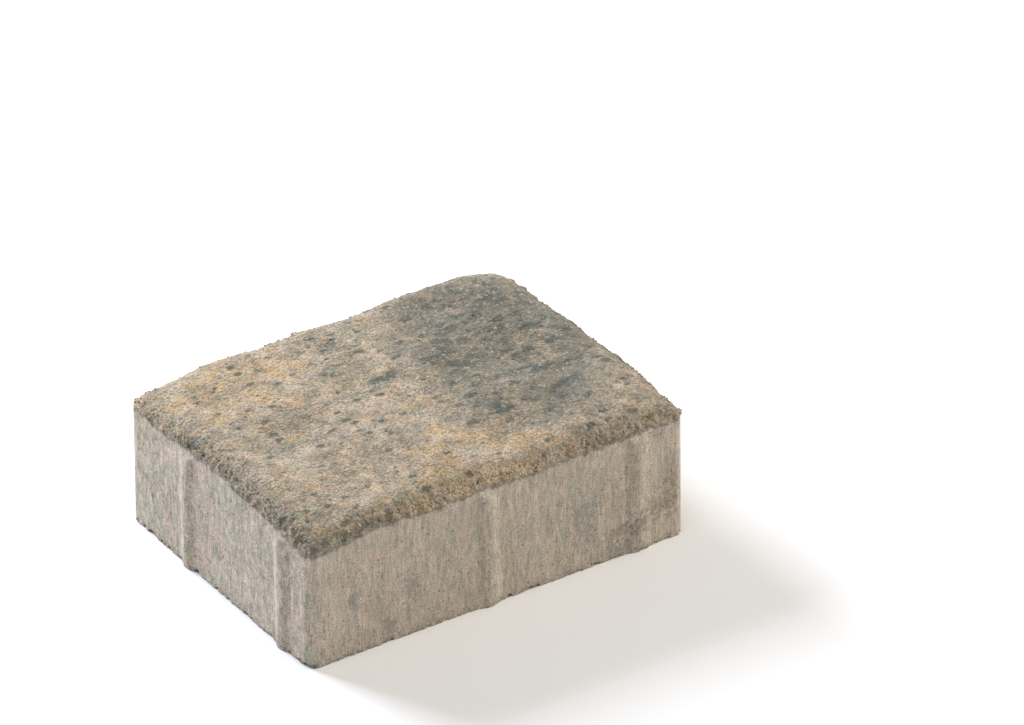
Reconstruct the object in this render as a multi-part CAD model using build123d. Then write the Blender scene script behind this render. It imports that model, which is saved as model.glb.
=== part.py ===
from build123d import *
import os
from math import asin, cos, degrees, exp, pi, radians, sin

os.makedirs("parts", exist_ok=True)

# Concrete paving stone, cast in one piece: a block with smooth moulded sides, a rough
# pillowed top and low upright ribs on its sides that keep the joint open when it is laid.
# The stone lies as laid: +X along its length, +Y across it, +Z up. The origin is the
# middle of its underside.

# Block, in mm: one joint of 3 mm less than the 200 by 150 mm that it takes up when laid
length = 197.0
width = 147.0
thickness = 71.0            # underside to the mean level of the crown
corner_radius = 5.0

# Crown: level in its middle, it turns down over a rounded shoulder to the arris
arris_height = 62.5         # underside to the arris, where the moulded side begins
shoulder = 4.5              # the smaller, the tighter the shoulder

# Fall of the crown below the arris at each corner, and how far it reaches in
corner_reach = 16.0
corner_falls = {
    (-1, -1): 2.5,
    (-1, 1): 2.0,
    (1, 1): 8.0,
    (1, -1): -1.5,
}

# Soft waves of the worn-looking top: height, length, heading from +X and phase in degrees
waves = (
    (0.50, 84.0, -37.0, 310.0),
    (0.65, 45.0, 0.0, 85.0),
    (0.75, 55.0, 23.0, 220.0),
    (0.50, 52.0, 0.0, 245.0),
    (0.45, 40.0, -62.0, 35.0),
    (0.50, 52.0, 90.0, 215.0),
)

# Spacer ribs: an upright swelling with soft flanks and a sloped head close below the arris
rib_stand = 1.8             # how far a rib stands out of the side
rib_width = 15.0
rib_top = 60.5
rib_head = 4.0              # height over which the head slopes back into the side
rib_root = 3.0              # depth of the rib's section inside the block
end_rib_places = (22.5, 99.5)       # along the end, from the corner next to the side
side_rib_places = (93.5, 172.5)     # along the side, from the same corner

# The crown's surface runs past the block by the overrun, through points about a step apart
overrun = 4.0
step = 3.5


def rise_share(place, full_size):
    """Share of the crown's rise at a place across the block: 0 at the side, 1 well inside.

    Past the side it falls on with the slope that it has there.
    """
    from_side = full_size / 2 - abs(place)
    if from_side < 0:
        return from_side / shoulder
    return 1.0 - exp(-from_side / shoulder)


def wave_height(x, y):
    total = 0.0
    for height, wave_length, heading, phase in waves:
        along = x * cos(radians(heading)) + y * sin(radians(heading))
        total += height * cos(2 * pi * along / wave_length + radians(phase))
    return total


def corner_fall(x, y):
    total = 0.0
    for (side_x, side_y), fall in corner_falls.items():
        away = (length / 2 - side_x * x) + (width / 2 - side_y * y)
        total += fall * exp(-away / corner_reach)
    return total


def crown_height(x, y):
    rise = (thickness - arris_height) * rise_share(x, length) * rise_share(y, width)
    return arris_height + rise + wave_height(x, y) - corner_fall(x, y)


def stations(full_size):
    """Evenly spaced places across the block and its overrun, symmetric about the middle."""
    reach = full_size / 2 + overrun
    count = round(2 * reach / step)
    return [reach * (2 * i / count - 1) for i in range(count + 1)]


def crown_surface():
    points = [[(x, y, crown_height(x, y)) for y in stations(width)] for x in stations(length)]
    return Face.make_surface_from_array_of_points(points, tol=0.005, max_deg=5)


def rib():
    """One rib for a side that faces +Y: its middle at X = 0, the side at Y = 0."""
    quarter = rib_width / 4
    half_stand = rib_stand / 2
    bend = (quarter ** 2 + half_stand ** 2) / (2 * half_stand)
    turn = degrees(asin(quarter / bend))
    with BuildPart() as made:
        with BuildSketch():
            with BuildLine():
                foot = JernArc((-2 * quarter, 0), (1, 0), bend, turn)
                ridge = JernArc(foot @ 1, foot % 1, bend, -2 * turn)
                toe = JernArc(ridge @ 1, ridge % 1, bend, turn)
                Polyline(toe @ 1, (2 * quarter, -rib_root), (-2 * quarter, -rib_root), foot @ 0)
            make_face()
        extrude(amount=rib_top)
        with BuildSketch(Plane.YZ):
            with BuildLine():
                Polyline(
                    (0, rib_top),
                    (2 * rib_stand, rib_top - 2 * rib_head),
                    (2 * rib_stand, rib_top + rib_root),
                    (0, rib_top + rib_root),
                    close=True,
                )
            make_face()
        extrude(amount=rib_width, both=True, mode=Mode.SUBTRACT)
    return made.part


# The block and its ribs. The far side and end have the ribs of the near ones, turned half round
stone = extrude(RectangleRounded(length, width, corner_radius), thickness + overrun)
for half_turn in (0, 180):
    for place in side_rib_places:
        near_side = Pos(place - length / 2, -width / 2, 0) * Rot(0, 0, 180)
        stone = stone + Rot(0, 0, half_turn) * near_side * rib()
    for place in end_rib_places:
        near_end = Pos(-length / 2, place - width / 2, 0) * Rot(0, 0, 90)
        stone = stone + Rot(0, 0, half_turn) * near_end * rib()

# All that stands above the crown's surface is taken off
above_crown = Solid.extrude(crown_surface(), Vector(0, 0, thickness))
stone = stone - above_crown

stone.label = "paving_stone"
export_step(stone, "parts/paving_stone.step")
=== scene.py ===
import math
import bpy
from mathutils import Matrix, Vector
from mathutils.bvhtree import BVHTree


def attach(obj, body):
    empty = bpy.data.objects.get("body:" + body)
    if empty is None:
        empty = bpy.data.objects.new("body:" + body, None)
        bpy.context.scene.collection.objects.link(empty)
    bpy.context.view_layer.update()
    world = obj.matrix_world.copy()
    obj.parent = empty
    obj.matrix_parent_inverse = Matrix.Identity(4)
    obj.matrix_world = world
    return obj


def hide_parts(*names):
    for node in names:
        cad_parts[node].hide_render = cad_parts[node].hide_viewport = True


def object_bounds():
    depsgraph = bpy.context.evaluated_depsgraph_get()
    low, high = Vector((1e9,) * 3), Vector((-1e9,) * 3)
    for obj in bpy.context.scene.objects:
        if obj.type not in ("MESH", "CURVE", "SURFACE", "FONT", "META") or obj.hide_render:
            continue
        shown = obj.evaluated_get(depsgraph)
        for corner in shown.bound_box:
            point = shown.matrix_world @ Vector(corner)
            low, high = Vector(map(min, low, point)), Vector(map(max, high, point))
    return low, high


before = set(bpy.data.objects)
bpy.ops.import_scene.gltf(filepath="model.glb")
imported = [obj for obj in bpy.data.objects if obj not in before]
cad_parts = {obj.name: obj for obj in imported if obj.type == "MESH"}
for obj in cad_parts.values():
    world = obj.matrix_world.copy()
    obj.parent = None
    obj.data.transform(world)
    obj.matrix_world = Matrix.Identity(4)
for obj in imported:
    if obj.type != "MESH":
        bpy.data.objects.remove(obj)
cad_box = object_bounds()

# Stone, its block
# One block of concrete, pressed in a steel mould with its top up and lifted out while still
# green. Its skin is laid on the CAD solid: a fine net of points is sent onto it from above and
# from the sides, so it keeps every size.
MM = 0.001
length = 197 * MM
width = 147 * MM
corner_radius = 5 * MM
net_step = 0.8 * MM
arris_rows = 12                         # rows of the net close below the arris
arris_row = 0.5 * MM
foot_rows = 5                           # rows of the net close above the foot
foot_row = 0.6 * MM
middle_rows = 33
hem_steps = (0.7 * MM, 2 * MM, 5 * MM)  # rings of the underside, from its edge inwards
hem_lean = 0.3                          # share of a ring's step that leads to the middle
under_arris = -70.0                     # arris distance, in mm, that marks the underside
feeler_reach = 8 * MM                   # how far off the block a feeler for its sides starts
feeler_height = 1000 * MM               # how high a feeler for its crown starts
lowest_feeler = 0.2 * MM
inside_rim = 0.999                      # the feelers for the rim fall just inside the solid

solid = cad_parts["paving_stone"]
feeler = BVHTree.FromPolygons(
    [v.co for v in solid.data.vertices], [tuple(p.vertices) for p in solid.data.polygons])


def rounded(x, y):
    """A place in the block's rectangle, drawn in where the upright corners are rounded."""
    over_x = abs(x) - (length / 2 - corner_radius)
    over_y = abs(y) - (width / 2 - corner_radius)
    if over_x <= 0 or over_y <= 0:
        return Vector((x, y, 0)), Vector((0, 0, 0))
    drawn_x = over_x * math.sqrt(1 - (over_y / corner_radius) ** 2 / 2)
    drawn_y = over_y * math.sqrt(1 - (over_x / corner_radius) ** 2 / 2)
    sign_x, sign_y = math.copysign(1, x), math.copysign(1, y)
    place = Vector((x + sign_x * (drawn_x - over_x), y + sign_y * (drawn_y - over_y), 0))
    return place, Vector((sign_x * drawn_x, sign_y * drawn_y, 0)).normalized()


def crown_level(place):
    """Height of the solid's crown over a place of its plan."""
    inner = place * inside_rim
    return feeler.ray_cast(Vector((inner.x, inner.y, feeler_height)), Vector((0, 0, -1)))[0].z


def stand(place, outward, level):
    """How far the solid's side stands out of the block's plan: more than 0 on a rib."""
    start = place + outward * feeler_reach + Vector((0, 0, max(level, lowest_feeler)))
    hit = feeler.ray_cast(start, -outward)[0]
    return max(0.0, feeler_reach - (hit - start).length) if hit else 0.0


def side_levels(arris):
    """Levels of the net's rows on a side, from below its arris down to the foot."""
    upper = [arris - arris_row * (row + 1) for row in range(arris_rows)]
    lower = [foot_row * row for row in range(foot_rows)]
    gap = (upper[-1] - lower[-1]) / middle_rows
    middle = [upper[-1] - gap * row for row in range(1, middle_rows)]
    return upper + middle + lower[::-1]


def strip(above, below):
    """Faces of the net between two rings of points, facing outwards."""
    above_next = above[1:] + above[:1]
    below_next = below[1:] + below[:1]
    return list(zip(above, below, below_next, above_next))


columns = round(length / net_step)
rows = round(width / net_step)
points, faces, arris_distance = [], [], []
net = {}
for i in range(columns + 1):
    for j in range(rows + 1):
        flat_x = length * (i / columns - 0.5)
        flat_y = width * (j / rows - 0.5)
        place, _ = rounded(flat_x, flat_y)
        net[i, j] = len(points)
        points.append(Vector((place.x, place.y, crown_level(place))))
        arris_distance.append(min(length / 2 - abs(flat_x), width / 2 - abs(flat_y)) / MM)
for i in range(columns):
    for j in range(rows):
        faces.append((net[i, j], net[i + 1, j], net[i + 1, j + 1], net[i, j + 1]))

# The sides hang from the rim of the net, anticlockwise seen from above
rim = [(i, 0, (0, -1)) for i in range(columns)]
rim += [(columns, j, (1, 0)) for j in range(rows)]
rim += [(i, rows, (0, 1)) for i in range(columns, 0, -1)]
rim += [(0, j, (-1, 0)) for j in range(rows, 0, -1)]
above = [net[i, j] for i, j, _ in rim]
foot = []
levels = [side_levels(points[top].z) for top in above]
for row in range(len(levels[0])):
    below = []
    for k, (i, j, facing) in enumerate(rim):
        place, outward = rounded(length * (i / columns - 0.5), width * (j / rows - 0.5))
        if outward.length == 0:
            outward = Vector((*facing, 0))
        level = levels[k][row]
        out = stand(place, outward, level)
        below.append(len(points))
        points.append(Vector((place.x, place.y, level)) + outward * out)
        arris_distance.append((level - points[net[i, j]].z) / MM)
        if level == 0:
            foot.append((place, outward, out))
    faces += strip(above, below)
    above = below

# The underside is a hem of three rings round one flat face
for step in hem_steps:
    below = []
    for place, outward, out in foot:
        to_middle = Vector((-place.x, -place.y, 0)).normalized()
        inward = to_middle * hem_lean - outward * (1 - hem_lean)
        rib_left = outward * out * max(0, 1 - step / hem_steps[1])
        below.append(len(points))
        points.append(place + rib_left + inward * step)
        arris_distance.append(under_arris - step / MM)
    faces += strip(above, below)
    above = below
faces.append(tuple(reversed(above)))

mesh = bpy.data.meshes.new("cast_stone")
mesh.from_pydata(points, [], faces)
mesh.attributes.new("arris_distance", "FLOAT", "POINT").data.foreach_set("value", arris_distance)
mesh.update()
block = bpy.data.objects.new("block", mesh)
bpy.context.scene.collection.objects.link(block)

# Stone, its surface
# The top is roughened while green: it is lumpy and grainy, and its arris is broken and ragged.
# The sides carry fine upright drag lines from the mould, and small air holes. The foot has a
# slight burr where the mix pressed out under the mould.


class Field:
    """A value that varies over the stone, held by a node. Sums are written as with numbers."""

    def __init__(self, socket):
        self.socket = socket
        self.tree = socket.id_data

    def __add__(self, other):
        return worked("ADD", self, other)

    def __sub__(self, other):
        return worked("SUBTRACT", self, other)

    def __rsub__(self, other):
        return worked("SUBTRACT", other, self)

    def __mul__(self, other):
        return worked("MULTIPLY", self, other)

    def __truediv__(self, other):
        return worked("DIVIDE", self, other)

    def __abs__(self):
        return worked("ABSOLUTE", self)

    __radd__ = __add__
    __rmul__ = __mul__


def wire(tree, kind, sockets=None, **settings):
    """Adds a node with its options, and gives each named socket a value or a wire."""
    node = tree.nodes.new(kind)
    for name, value in settings.items():
        setattr(node, name, value)
    for key, value in (sockets or {}).items():
        if isinstance(value, Field):
            value = value.socket
        if isinstance(value, bpy.types.NodeSocket):
            tree.links.new(value, node.inputs[key])
        else:
            node.inputs[key].default_value = value
    return node


def worked(operation, a, b=0.0):
    """The result of one operation on two fields, or on a field and a number."""
    tree = (a if isinstance(a, Field) else b).tree
    return Field(wire(tree, "ShaderNodeMath", {0: a, 1: b}, operation=operation).outputs[0])


def larger(a, b):
    return worked("MAXIMUM", a, b)


def is_less(a, b):
    """1 where a is less than b, and 0 elsewhere."""
    return worked("LESS_THAN", a, b)


def span(value, low, high, to_low=0.0, to_high=1.0):
    """Eases from one value to another while the field goes from low to high."""
    sockets = {"Value": value, "From Min": low, "From Max": high, "To Min": to_low, "To Max": to_high}
    node = wire(value.tree, "ShaderNodeMapRange", sockets, interpolation_type="SMOOTHSTEP")
    return Field(node.outputs[0])


def stretched(place, x, y, z):
    """A place with its axes multiplied: a pattern is drawn out along an axis of less than 1."""
    sockets = {0: place, 1: (x, y, z)}
    return wire(place.id_data, "ShaderNodeVectorMath", sockets, operation="MULTIPLY").outputs[0]


def clouds(place, size, seed, detail=2.0, roughness=0.5):
    """Even noise from 0 to 1 with swellings of the given size."""
    sockets = {"Vector": place, "W": seed, "Scale": 1 / size, "Detail": detail, "Roughness": roughness}
    return Field(wire(place.id_data, "ShaderNodeTexNoise", sockets, noise_dimensions="4D").outputs[0])


def pebbles(place, size, seed, dimensions="3D"):
    """Distance from the middle of the nearest grain, in grains, and a colour of the grain's own."""
    away = (seed * size, seed * size, 0)
    moved = wire(place.id_data, "ShaderNodeVectorMath", {0: place, 1: away}, operation="ADD").outputs[0]
    sockets = {"Vector": moved, "Scale": 1 / size}
    node = wire(place.id_data, "ShaderNodeTexVoronoi", sockets, voronoi_dimensions=dimensions)
    return Field(node.outputs["Distance"]), node.outputs["Color"]


def new_tree(name, sizes):
    """A geometry tree with an input for each size, given as its name, socket kind and value."""
    tree = bpy.data.node_groups.new(name, "GeometryNodeTree")
    tree.interface.new_socket("Geometry", in_out="INPUT", socket_type="NodeSocketGeometry")
    for socket_name, (kind, value) in sizes.items():
        tree.interface.new_socket(socket_name, in_out="INPUT", socket_type=kind).default_value = value
    tree.interface.new_socket("Geometry", in_out="OUTPUT", socket_type="NodeSocketGeometry")
    given = {socket.name: Field(socket) for socket in wire(tree, "NodeGroupInput").outputs if socket.name}
    return tree, given


def finish_tree(tree, shape, material):
    """Ends a tree: its instances are made real, and the shape gets its material."""
    real = wire(tree, "GeometryNodeRealizeInstances", {0: shape})
    dyed = wire(tree, "GeometryNodeSetMaterial", {"Geometry": real.outputs[0], "Material": material})
    wire(tree, "NodeGroupOutput", {"Geometry": dyed.outputs[0]})


def grown(obj, tree, name):
    """The object's mesh after a geometry tree, as a plain mesh in an object of its own."""
    modifier = obj.modifiers.new(tree.name, "NODES")
    modifier.node_group = tree
    for item in tree.interface.items_tree:
        if item.in_out == "INPUT" and item.socket_type != "NodeSocketGeometry":
            modifier[item.identifier] = item.default_value
    depsgraph = bpy.context.evaluated_depsgraph_get()
    made = bpy.data.meshes.new_from_object(obj.evaluated_get(depsgraph), depsgraph=depsgraph)
    obj.modifiers.remove(modifier)
    made.name = name
    piece = bpy.data.objects.new(name, made)
    bpy.context.scene.collection.objects.link(piece)
    return piece


def keep_in_box(piece):
    """Draws back to the CAD model's box what the roughening has pushed past it."""
    low, high = cad_box
    for vertex in piece.data.vertices:
        for axis in range(3):
            vertex.co[axis] = min(max(vertex.co[axis], low[axis]), high[axis])


grain_reach = 0.45                      # a grain stands out within this share of its spacing
hem_keeps = 0.25                        # share of the relief that is left at the foot's underside
chip_inset = 0.8                        # a chip goes this far inwards for each mm that it goes up

concrete = bpy.data.materials.new("blended_concrete")
FLOAT = "NodeSocketFloat"
relief, given = new_tree("stone_relief", {
    "Lump height mm": (FLOAT, 1.2),
    "Clod height mm": (FLOAT, 1.0),
    "Grain height mm": (FLOAT, 0.4),
    "Arris break mm": (FLOAT, 2.8),
    "Arris crumb mm": (FLOAT, 1.0),
    "Drag depth mm": (FLOAT, 0.16),
    "Air hole depth mm": (FLOAT, 0.7),
    "Foot burr mm": (FLOAT, 1.1),
    "Foot chip mm": (FLOAT, 1.8),
    "Concrete": ("NodeSocketMaterial", concrete),
})
spot = wire(relief, "GeometryNodeInputPosition").outputs[0]
axes = wire(relief, "ShaderNodeSeparateXYZ", {0: spot}).outputs
above_floor = Field(axes["Z"])
from_end = length / 2 - abs(Field(axes["X"]))
from_side = width / 2 - abs(Field(axes["Y"]))
from_arris = Field(wire(
    relief, "GeometryNodeInputNamedAttribute", {"Name": "arris_distance"}, data_type="FLOAT").outputs[0])


def swell(noise, height, middle=0.5):
    """Height, in mm, of a noise about its middle."""
    return (noise - middle) * height


# Distances from the arris are in mm: more than 0 inwards on the top, less than 0 down the sides.
# The top: lumps, clods and grains, each finer than the one before
lumps = swell(clouds(spot, 15 * MM, 1, detail=1, roughness=0.55), given["Lump height mm"])
clods = swell(clouds(spot, 5 * MM, 2, roughness=0.55), given["Clod height mm"])
grain_gap, _ = pebbles(spot, 2.1 * MM, 3)
grains = (grain_reach - grain_gap) * given["Grain height mm"]
top_skin = (lumps + clods + grains) * span(from_arris, -1.2, 1.5)

# The sides: drag lines, air holes, and the burr of the foot
drag = swell(clouds(stretched(spot, 1, 1, 0.03), 1.7 * MM, 5, roughness=0.55), given["Drag depth mm"])
hole_gap, _ = pebbles(spot, 9 * MM, 6)
holes = span(hole_gap, 0.10, 0.03, 0.0, given["Air hole depth mm"])
burr_noise = clouds(spot, 4 * MM, 7, detail=3, roughness=0.55)
burr = swell(burr_noise, given["Foot burr mm"], middle=0.55) * span(above_floor, 3.5 * MM, 0.3 * MM)
side_skin = (drag - holes + burr) * span(from_arris, 0.5, -1.5)
skin = top_skin + side_skin

# The arris: bits are broken out of it and crumbs overhang it, fewer at the upright corners
break_noise = clouds(spot, 6 * MM, 4, detail=3, roughness=0.55)
break_band = span(from_arris, -3.0, -0.2) * span(from_arris, 7.0, 1.0)
broken = swell(break_noise, given["Arris break mm"], middle=0.62) * break_band
crumb_noise = clouds(spot, 3.2 * MM, 9, detail=1)
crumb_band = span(from_arris, -3.2, -1.2) * span(from_arris, 4.0, 1.5)
crumbs = crumb_band * span(crumb_noise, 0.48, 0.62, 0.0, given["Arris crumb mm"])
off_corner = span(larger(from_end, from_side), 4 * MM, 9 * MM, 0.3, 1.0)
push = skin + (broken + crumbs) * off_corner

# The underside: slighter on the hem and flat inside it
under = is_less(above_floor, 0.1 * MM)
push = push * larger(1.0 - under, hem_keeps) * span(from_arris, under_arris - 4.5, under_arris - 0.5)

# The foot: small chips are out of its edge, more of them at the ends
chip_noise = clouds(spot, 3 * MM, 8, detail=3, roughness=0.7)
chip_band = span(above_floor, 2.6 * MM, 0.3 * MM)
chip_band = chip_band * span(from_arris, under_arris - 1.8, under_arris - 0.4)
chips = span(chip_noise, 0.44, 0.64, 0.0, given["Foot chip mm"]) * chip_band
chips = chips * span(from_end, 4 * MM, 2 * MM, 0.5, 1.0)
push = push - chips * chip_inset

facing = wire(relief, "GeometryNodeInputNormal").outputs[0]
pushed = wire(relief, "ShaderNodeVectorMath", {0: facing, "Scale": push * MM}, operation="SCALE")
lifted = wire(relief, "ShaderNodeCombineXYZ", {"Z": chips * MM})
offset = wire(relief, "ShaderNodeVectorMath", {0: pushed.outputs[0], 1: lifted.outputs[0]}, operation="ADD")
moved = wire(relief, "GeometryNodeSetPosition", {"Geometry": given["Geometry"], "Offset": offset.outputs[0]})
kept = wire(
    relief, "GeometryNodeStoreNamedAttribute",
    {"Geometry": moved.outputs[0], "Name": "relief", "Value": skin}, data_type="FLOAT", domain="POINT")
finish_tree(relief, kept.outputs[0], given["Concrete"])

stone = grown(block, relief, "stone")
bpy.data.objects.remove(block)
keep_in_box(stone)
for face in stone.data.polygons:
    face.use_smooth = len(face.vertices) == 4       # the middle of the underside is one flat face

# Stone, its concrete
# Two mixes in one material. The sides are the base mix, grey-beige with fine drag lines, brown
# specks and dark dots of painted shade for small pores. The top is the face mix, sand, pink-beige and
# ochre, with slate-coloured mix blended in unevenly: in clouds over the far right part, and in a grey
# rim round the near corner.
concrete.use_nodes = True
paint = concrete.node_tree
paint.nodes.clear()
surface = wire(paint, "ShaderNodeTexCoord").outputs["Object"]
arris = Field(wire(paint, "ShaderNodeAttribute", attribute_name="arris_distance").outputs["Fac"])
hollow = Field(wire(paint, "ShaderNodeAttribute", attribute_name="relief").outputs["Fac"])


def dye(red, green, blue):
    return (red, green, blue, 1.0)


def blend(under, over, share):
    node = wire(paint, "ShaderNodeMix", {"Factor": share, 6: under, 7: over}, data_type="RGBA")
    return node.outputs[2]


def toned(colour, amount):
    """The colour made darker, or lighter where the amount is more than 1."""
    return wire(paint, "ShaderNodeVectorMath", {0: colour, "Scale": amount}, operation="SCALE").outputs[0]


def tones(colour):
    """Two numbers of a grain's own, from 0 to 1."""
    outputs = wire(paint, "ShaderNodeSeparateColor", {0: colour}).outputs
    return Field(outputs[0]), Field(outputs[1])


def patch(x, y, reach_x, reach_y, hard=0.2):
    """A soft oval patch of the top: its middle and reach in mm, and how much of it is hard."""
    shifted = wire(
        paint, "ShaderNodeVectorMath", {0: surface, 1: (x * MM, y * MM, 0)}, operation="SUBTRACT").outputs[0]
    scaled = stretched(shifted, 1 / (reach_x * MM), 1 / (reach_y * MM), 0)
    away = wire(paint, "ShaderNodeVectorMath", {0: scaled}, operation="LENGTH").outputs["Value"]
    return span(Field(away), 1.0, hard)


# Dyes of the face mix
cool_sand = dye(0.297, 0.274, 0.206)
warm_sand = dye(0.462, 0.350, 0.232)
pink_sand = dye(0.460, 0.372, 0.296)
ochre = dye(0.480, 0.325, 0.165)
slate_veil = dye(0.212, 0.197, 0.155)
slate_blotch = dye(0.110, 0.116, 0.098)
slate_spot = dye(0.112, 0.120, 0.098)
grey_rim = dye(0.212, 0.210, 0.168)
# partly the mix's own tan, partly painted light that lifts the shade on the near shoulder
tan_rim_and_painted_light = dye(0.600, 0.460, 0.305)
dark_grain = dye(0.130, 0.120, 0.105)
pale_grain = dye(0.500, 0.450, 0.370)

# Dyes of the base mix
green_beige = dye(0.385, 0.362, 0.290)
pink_beige = dye(0.545, 0.445, 0.362)
pale_run = dye(0.600, 0.530, 0.430)
dull_run = dye(0.360, 0.310, 0.245)
cool_stain = dye(0.200, 0.215, 0.205)
brown_stain = dye(0.460, 0.315, 0.185)
# painted shade of small pores that the mesh does not have
painted_pore_shade = dye(0.160, 0.100, 0.070)
pink_tint = dye(0.600, 0.440, 0.385)
green_tint = dye(0.360, 0.395, 0.290)
speck_brown = dye(0.200, 0.145, 0.115)
slate_stain = dye(0.215, 0.225, 0.210)
rust_stain = dye(0.220, 0.165, 0.120)
# painted shade of small pits along the foot
foot_pit_shade_dye = dye(0.170, 0.125, 0.090)

# Face mix: sand that drifts from cool grey-green to warm peach, lighter and darker in soft clouds
along = stretched(surface, 0.75, 1, 1)
salt = clouds(surface, 0.7 * MM, 16, roughness=0.8)
grainy = (salt - 0.5) * 0.22
drift = clouds(along, 6 * MM, 11, detail=3, roughness=0.62)
warmth = clouds(surface, 26 * MM, 12)
warm_field = larger(patch(5, -52, 66, 34), patch(-60, 45, 60, 40))
warm_edge = drift + (warmth - 0.5) * 0.4 - (1.0 - warm_field) * 0.06
face_mix = blend(cool_sand, warm_sand, span(warm_edge, 0.30, 0.64))
pink_clouds = clouds(along, 9 * MM, 36, detail=4, roughness=0.65)
face_mix = blend(face_mix, pink_sand, span(pink_clouds, 0.44, 0.62, 0.0, 0.65))
ochre_edge = clouds(along, 8 * MM, 13, detail=4, roughness=0.65) - (0.62 - warm_field * 0.09)
face_mix = blend(face_mix, ochre, span(ochre_edge, -0.08, 0.10, 0.0, 0.75))
lightness = clouds(surface, 9 * MM, 18, detail=4, roughness=0.6)
face_mix = toned(face_mix, span(lightness, 0.3, 0.7, 0.74, 1.13))

# Face mix: the slate-coloured veil and blotches, thickest over the far right part
slate_field = larger(patch(56, 16, 60, 78, hard=0.45), patch(44, -30, 46, 40, hard=0.4) * 0.9)
veil = clouds(surface, 12 * MM, 14, detail=4, roughness=0.65) + grainy
face_mix = blend(face_mix, slate_veil, slate_field * span(veil, 0.32, 0.60, 0.3, 0.9))
face_mix = toned(face_mix, span(slate_field, 0.0, 1.0, 1.06, 0.90))
blotch_clouds = clouds(stretched(surface, 0.7, 1, 1), 5.5 * MM, 15, roughness=0.6)
single_blotches = [
    (-19, 33, 9, 6), (-2, 15, 13, 6), (62, -33, 14, 7), (30, 6, 16, 9), (70, 40, 20, 12),
    (40, 32, 14, 8), (10, -22, 7, 5), (78, -62, 12, 6), (52, -66, 7, 4), (-8, 52, 7, 5)]
blotch_field = slate_field
for x, y, reach_x, reach_y in single_blotches:
    blotch_field = larger(blotch_field, patch(x, y, reach_x, reach_y) * 1.6)
blotch_edge = blotch_clouds - (0.70 - blotch_field * 0.15) + grainy
face_mix = blend(face_mix, slate_blotch, span(blotch_edge, -0.08, 0.12, 0.0, 0.9))

# Face mix: small slate spots, each a few mm wide and drawn out along the stone
spot_gap, spot_colour = pebbles(stretched(surface, 0.6, 1, 1), 6.5 * MM, 20, dimensions="2D")
spot_size, _ = tones(spot_colour)
spot_reach = span(spot_size, 0.3, 1.0) * (0.23 + slate_field * 0.14)
frayed = (clouds(surface, 2.5 * MM, 27, detail=3, roughness=0.7) - 0.5) * 0.5
spot_edge = spot_gap + frayed - (spot_reach + grainy)
face_mix = blend(face_mix, slate_spot, span(spot_edge, 0.06, -0.09, 0.0, 0.85))

# Face mix: the grey rim round the near corner, and a tan rim in the middle of the near long side.
# The tan rim is partly the mix's own tan and partly painted light: it is dyed lighter than the sand to lift
# the shade on the shoulder there.
rim_clouds = clouds(surface, 4.5 * MM, 33, detail=3, roughness=0.65)
rim_field = larger(patch(-98, -73, 60, 40, hard=0.5), patch(-98, -10, 24, 80, hard=0.3) * 0.6)
rim_band = span(arris + drift * 12.0, 15.0, 7.0)
rim_share = rim_field * rim_band * span(rim_clouds + grainy * 1.6, 0.45, 0.56, 0.0, 0.72)
face_mix = blend(face_mix, grey_rim, rim_share)
tan_and_painted_light_band = patch(-2, -74, 48, 22, hard=0.4) * span(arris + drift * 6.0, 10.0, 5.0)
tan_and_painted_light_share = tan_and_painted_light_band * span(rim_clouds, 0.58, 0.42, 0.15, 1.0) * 0.6
face_mix = blend(face_mix, tan_rim_and_painted_light, tan_and_painted_light_share)

# Face mix: sand grains, light and dark, with shade in the hollows between them and at the arris
grain_gap, grain_colour = pebbles(surface, 1.3 * MM, 17)
dark_tone, pale_tone = tones(grain_colour)
face_mix = blend(face_mix, dark_grain, span(dark_tone, 0.88, 0.97, 0.0, 0.5))
face_mix = blend(face_mix, pale_grain, span(pale_tone, 0.84, 0.95, 0.0, 0.35))
face_mix = toned(face_mix, span(salt, 0.25, 0.75, 0.58, 1.42))
face_mix = toned(face_mix, span(grain_gap, 0.75, 0.35, 0.80, 1.05) * span(hollow, -1.0, 0.5, 0.70, 1.08))
crevice_band = span(arris, -1.2, 0.2) * span(arris, 4.0, 1.0)
crevice = span(clouds(surface, 2.2 * MM, 19, detail=3, roughness=0.7), 0.56, 0.66) * crevice_band
face_mix = toned(face_mix, 1.0 - crevice * 0.72)

# Base mix: grey-beige, mottled pink and green, with upright runs and stains, and dark dots of
# painted shade for small pores
across = wire(paint, "ShaderNodeSeparateXYZ", {0: surface}).outputs
mottle = clouds(stretched(surface, 1, 1, 0.5), 2.6 * MM, 23, detail=4, roughness=0.7)
base_mix = blend(green_beige, pink_beige, span(mottle, 0.33, 0.67))
runs = clouds(stretched(surface, 1, 1, 0.25), 8 * MM, 22, detail=3, roughness=0.6)
base_mix = blend(base_mix, pale_run, span(runs, 0.5, 0.7, 0.0, 0.5))
base_mix = blend(base_mix, dull_run, span(runs, 0.46, 0.28, 0.0, 0.5))
stain = clouds(stretched(surface, 1, 1, 0.6), 8 * MM, 24, detail=4, roughness=0.7)
base_mix = blend(base_mix, cool_stain, span(stain, 0.63, 0.74, 0.0, 0.6))
base_mix = blend(base_mix, brown_stain, span(stain, 0.37, 0.26, 0.0, 0.5))
# Dark brown dots: painted shade of small pores that the mesh does not have
pore_shade_gap, pore_shade_colour = pebbles(surface, 2.6 * MM, 25)
pore_shade_size, _ = tones(pore_shade_colour)
base_mix = blend(base_mix, painted_pore_shade, is_less(pore_shade_gap, pore_shade_size * 0.24) * 0.6)

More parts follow.
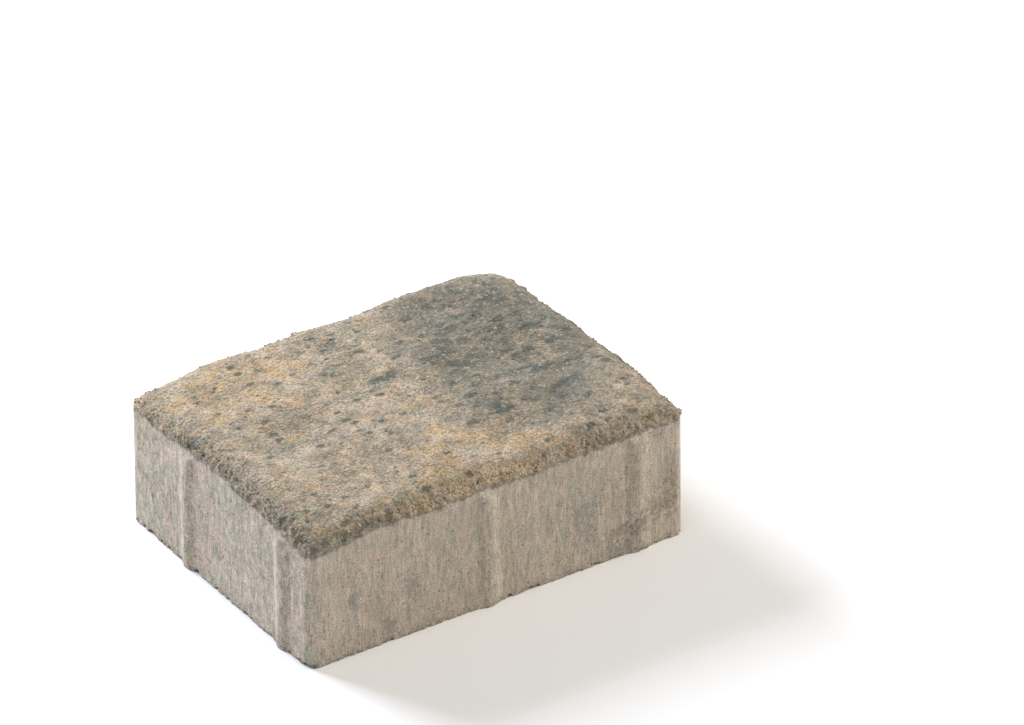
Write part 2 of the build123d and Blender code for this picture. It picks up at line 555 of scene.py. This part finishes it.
# Base mix: the ends came out blotchier than the long sides, with clusters of brown specks
at_end = span(abs(Field(across["X"])), length / 2 - 3 * MM, length / 2 - 1 * MM)
blotchy = clouds(stretched(surface, 1, 1, 0.6), 2.4 * MM, 29, detail=3, roughness=0.65)
base_mix = toned(base_mix, 1.0 + at_end * span(blotchy, 0.3, 0.7, -0.22, 0.22))
speck_field = at_end * span(clouds(surface, 16 * MM, 30), 0.48, 0.60)
specks = speck_field * span(clouds(surface, 1.4 * MM, 32, roughness=0.6), 0.56, 0.64)
base_mix = blend(base_mix, speck_brown, specks * 0.65)
tint = clouds(stretched(surface, 1, 1, 0.6), 5 * MM, 34, detail=4, roughness=0.8)
tint_share = span(at_end, 0.0, 1.0, 0.28, 0.70)
base_mix = blend(base_mix, pink_tint, span(tint, 0.51, 0.66) * tint_share)
base_mix = blend(base_mix, green_tint, span(tint, 0.49, 0.34) * tint_share)

# Base mix: dust, the hairlines that the mould drew, and shade in the air holes
dust = clouds(surface, 0.7 * MM, 26, roughness=0.8)
hairs = clouds(stretched(surface, 1, 1, 0.12), 0.9 * MM, 21, roughness=0.7)
base_mix = toned(base_mix, span(dust, 0.2, 0.8, 0.60, 1.40) * span(hairs, 0.2, 0.8, 0.78, 1.22))
base_mix = toned(base_mix, span(hollow, -0.7, 0.1, 0.5, 1.0))

# Base mix: stains on the near long side, by their place along it, height and reach in mm
single_stains = [
    (-75, 29, 3.5, 7, slate_stain), (-46, 23, 4.5, 9, slate_stain), (62, 5, 8, 4, slate_stain),
    (-57, 8, 3, 5, slate_stain), (64, 13, 8, 4, rust_stain), (73, 15, 5, 5, slate_stain),
    (82, 19, 9, 5, rust_stain), (91, 25, 5, 9, rust_stain), (45, 27, 6, 12, slate_stain)]
fray = clouds(surface, 1.8 * MM, 35, detail=4, roughness=0.75)
near_side = is_less(Field(across["Y"]), 1 * MM - width / 2)
for x, z, reach_x, reach_z, stain_dye in single_stains:
    away_x = (Field(across["X"]) - x * MM) / (reach_x * MM)
    away_z = (Field(across["Z"]) - z * MM) / (reach_z * MM)
    away = worked("SQRT", away_x * away_x + away_z * away_z)
    frayed_away = away + (fray - 0.5) * 8.0
    base_mix = blend(base_mix, stain_dye, span(frayed_away, 1.1, 0.5) * near_side * 0.5)
# The foot: dark brown spots in a band a few mm high all round the block, painted shade of small pits
foot_noise = clouds(surface, 1.6 * MM, 28, detail=3, roughness=0.7)
painted_foot_pit_shade = span(Field(across["Z"]), 6 * MM, 0.5 * MM) * span(foot_noise, 0.52, 0.62)
base_mix = blend(base_mix, foot_pit_shade_dye, painted_foot_pit_shade * 0.6)

# The face mix ends in a ragged edge just below the arris, with a little shade under it
ragged = (clouds(surface, 3 * MM, 31, detail=4, roughness=0.7) - 0.5) * 9.0
face_edge = arris + ragged
face_share = span(face_edge, -1.6, -0.8)
under_edge = span(face_edge, -3.2, -1.6) * (1.0 - face_share)
colour = toned(blend(base_mix, face_mix, face_share), 1.0 - under_edge * 0.45)

# Grit in the surface, deep between the grains of the top and slight on the sides
grit_depth = 0.6 * MM
gloss = 0.2
grit = clouds(surface, 0.9 * MM, 41, detail=3, roughness=0.75)
top_bump = (grit - grain_gap * 0.8) * face_share
side_bump = (grit * 0.45 + hairs * 0.22) * (1.0 - face_share)
bump = wire(paint, "ShaderNodeBump", {
    "Height": top_bump + side_bump, "Strength": 1.0, "Distance": grit_depth})
shell = wire(paint, "ShaderNodeBsdfPrincipled", {
    "Base Color": colour,
    "Roughness": span(grit, 0.3, 0.7, 0.85, 0.98),
    "Specular IOR Level": gloss,
    "Normal": bump.outputs[0],
})
wire(paint, "ShaderNodeOutputMaterial", {"Surface": shell.outputs[0]})

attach(stone, "root")
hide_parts("paving_stone")

# Stone, its loose grains
# Coarse grains of the face mix stand out of the broken arris and, thinner, over the top. They
# are bedded in the surface.
strew, given = new_tree("bedded_grains", {
    "Grains per m2 at the arris": (FLOAT, 250000.0),
    "Grains per m2 on the top": (FLOAT, 10000.0),
    "Smallest grain": (FLOAT, 0.3 * MM),
    "Largest grain": (FLOAT, 0.8 * MM),
    "Concrete": ("NodeSocketMaterial", concrete),
})
flat_grain = (0.7, 0.7, 0.45)
round_grain = (1.2, 1.0, 0.8)
full_turn = (6.28, 6.28, 6.28)
bed = wire(strew, "GeometryNodeInputPosition").outputs[0]
from_arris = Field(wire(
    strew, "GeometryNodeInputNamedAttribute", {"Name": "arris_distance"}, data_type="FLOAT").outputs[0])
at_arris = span(from_arris, -0.6, 0.4) * span(from_arris, 6.0, 1.5)
on_top = span(from_arris, 0.5, 3.0) * span(clouds(bed, 9 * MM, 51, detail=3, roughness=0.6), 0.4, 0.65)
density = at_arris * given["Grains per m2 at the arris"] + on_top * given["Grains per m2 on the top"]
strewn = wire(
    strew, "GeometryNodeDistributePointsOnFaces",
    {"Mesh": given["Geometry"], "Density": density, "Seed": 7}, distribute_method="RANDOM")

size = wire(
    strew, "FunctionNodeRandomValue",
    {2: given["Smallest grain"], 3: given["Largest grain"], "Seed": 8}, data_type="FLOAT").outputs[1]
shape = wire(
    strew, "FunctionNodeRandomValue",
    {0: flat_grain, 1: round_grain, "Seed": 9}, data_type="FLOAT_VECTOR").outputs[0]
turn = wire(
    strew, "FunctionNodeRandomValue",
    {0: (0, 0, 0), 1: full_turn, "Seed": 10}, data_type="FLOAT_VECTOR").outputs[0]
scale = wire(strew, "ShaderNodeVectorMath", {0: shape, "Scale": size}, operation="SCALE")
grain = wire(strew, "GeometryNodeMeshIcoSphere", {"Radius": 1.0, "Subdivisions": 1})
set_out = wire(strew, "GeometryNodeInstanceOnPoints", {
    "Points": strewn.outputs["Points"], "Instance": grain.outputs[0],
    "Rotation": turn, "Scale": scale.outputs[0]})
finish_tree(strew, set_out.outputs[0], given["Concrete"])

grains = grown(stone, strew, "bedded_grains")
keep_in_box(grains)
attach(grains, "root")

# Stage
# A plain pale floor, a large soft light on the left, a warmer and weaker one on the right and
# one overhead.
floor_size = 6.0
floor_grey = dye(0.86, 0.86, 0.86)
sky_strength = 0.30
softbox_size = 1.1

bpy.ops.mesh.primitive_plane_add(size=floor_size, location=(0, 0, 0))
floor = bpy.context.object
floor.name = "floor"
pale = bpy.data.materials.new("pale_floor")
pale.use_nodes = True
pale.node_tree.nodes["Principled BSDF"].inputs["Base Color"].default_value = floor_grey
pale.node_tree.nodes["Principled BSDF"].inputs["Roughness"].default_value = 0.9
floor.data.materials.append(pale)

sky = bpy.data.worlds.new("studio")
bpy.context.scene.world = sky
sky.use_nodes = True
sky.node_tree.nodes["Background"].inputs["Color"].default_value = dye(1, 1, 1)
sky.node_tree.nodes["Background"].inputs["Strength"].default_value = sky_strength


def softbox(name, place, power, colour):
    """A square light that faces the stone."""
    light = bpy.data.lights.new(name, "AREA")
    light.size = softbox_size
    light.energy = power
    light.color = colour
    lamp = bpy.data.objects.new(name, light)
    bpy.context.scene.collection.objects.link(lamp)
    lamp.location = place
    lamp.rotation_euler = (-Vector(place)).to_track_quat("-Z", "Y").to_euler()


softbox("left_light", place=(-0.60, 2.0, 1.2), power=90, colour=(0.905, 0.97, 1.09))
softbox("right_light", place=(1.95, -0.70, 1.2), power=40, colour=(1.0, 0.93, 0.84))
softbox("top_light", place=(-0.3, -0.5, 2.4), power=12, colour=(1.0, 0.98, 0.95))

# Camera
# Far away with a very long lens, as in the photo, so the stone's edges stay nearly parallel.
# It is aimed so that the front lower corner of the block is where the photo has it.
azimuth = math.radians(32.94)
elevation = math.radians(32.96)
roll = math.radians(-0.5)
distance = 7.0
sensor_width = 36.0                     # in mm, as is the lens
sight = 30.0                            # how far the camera sees
pixels_per_metre = 2288.0
image_width, image_height = 1024, 725
corner_pixel = (310.3, 671.4)

back = Vector((-math.sin(azimuth) * math.cos(elevation), -math.cos(azimuth) * math.cos(elevation),
               math.sin(elevation)))
level_right = Vector((math.cos(azimuth), -math.sin(azimuth), 0))
level_up = back.cross(level_right)
right = math.cos(roll) * level_right + math.sin(roll) * level_up
up = -math.sin(roll) * level_right + math.cos(roll) * level_up
front_corner = Vector((-length / 2, -width / 2, 0))
to_right = (corner_pixel[0] - image_width / 2) / pixels_per_metre
to_top = -(corner_pixel[1] - image_height / 2) / pixels_per_metre
eye = front_corner - right * to_right - up * to_top + back * distance

lens = bpy.data.cameras.new("camera")
lens.sensor_width = sensor_width
lens.lens = pixels_per_metre * distance * sensor_width / image_width
lens.clip_end = sight
camera = bpy.data.objects.new("camera", lens)
bpy.context.scene.collection.objects.link(camera)
camera.matrix_world = Matrix.Translation(eye) @ Matrix((right, up, back)).transposed().to_4x4()
bpy.context.scene.camera = camera
bpy.context.scene.view_settings.view_transform = "Standard"
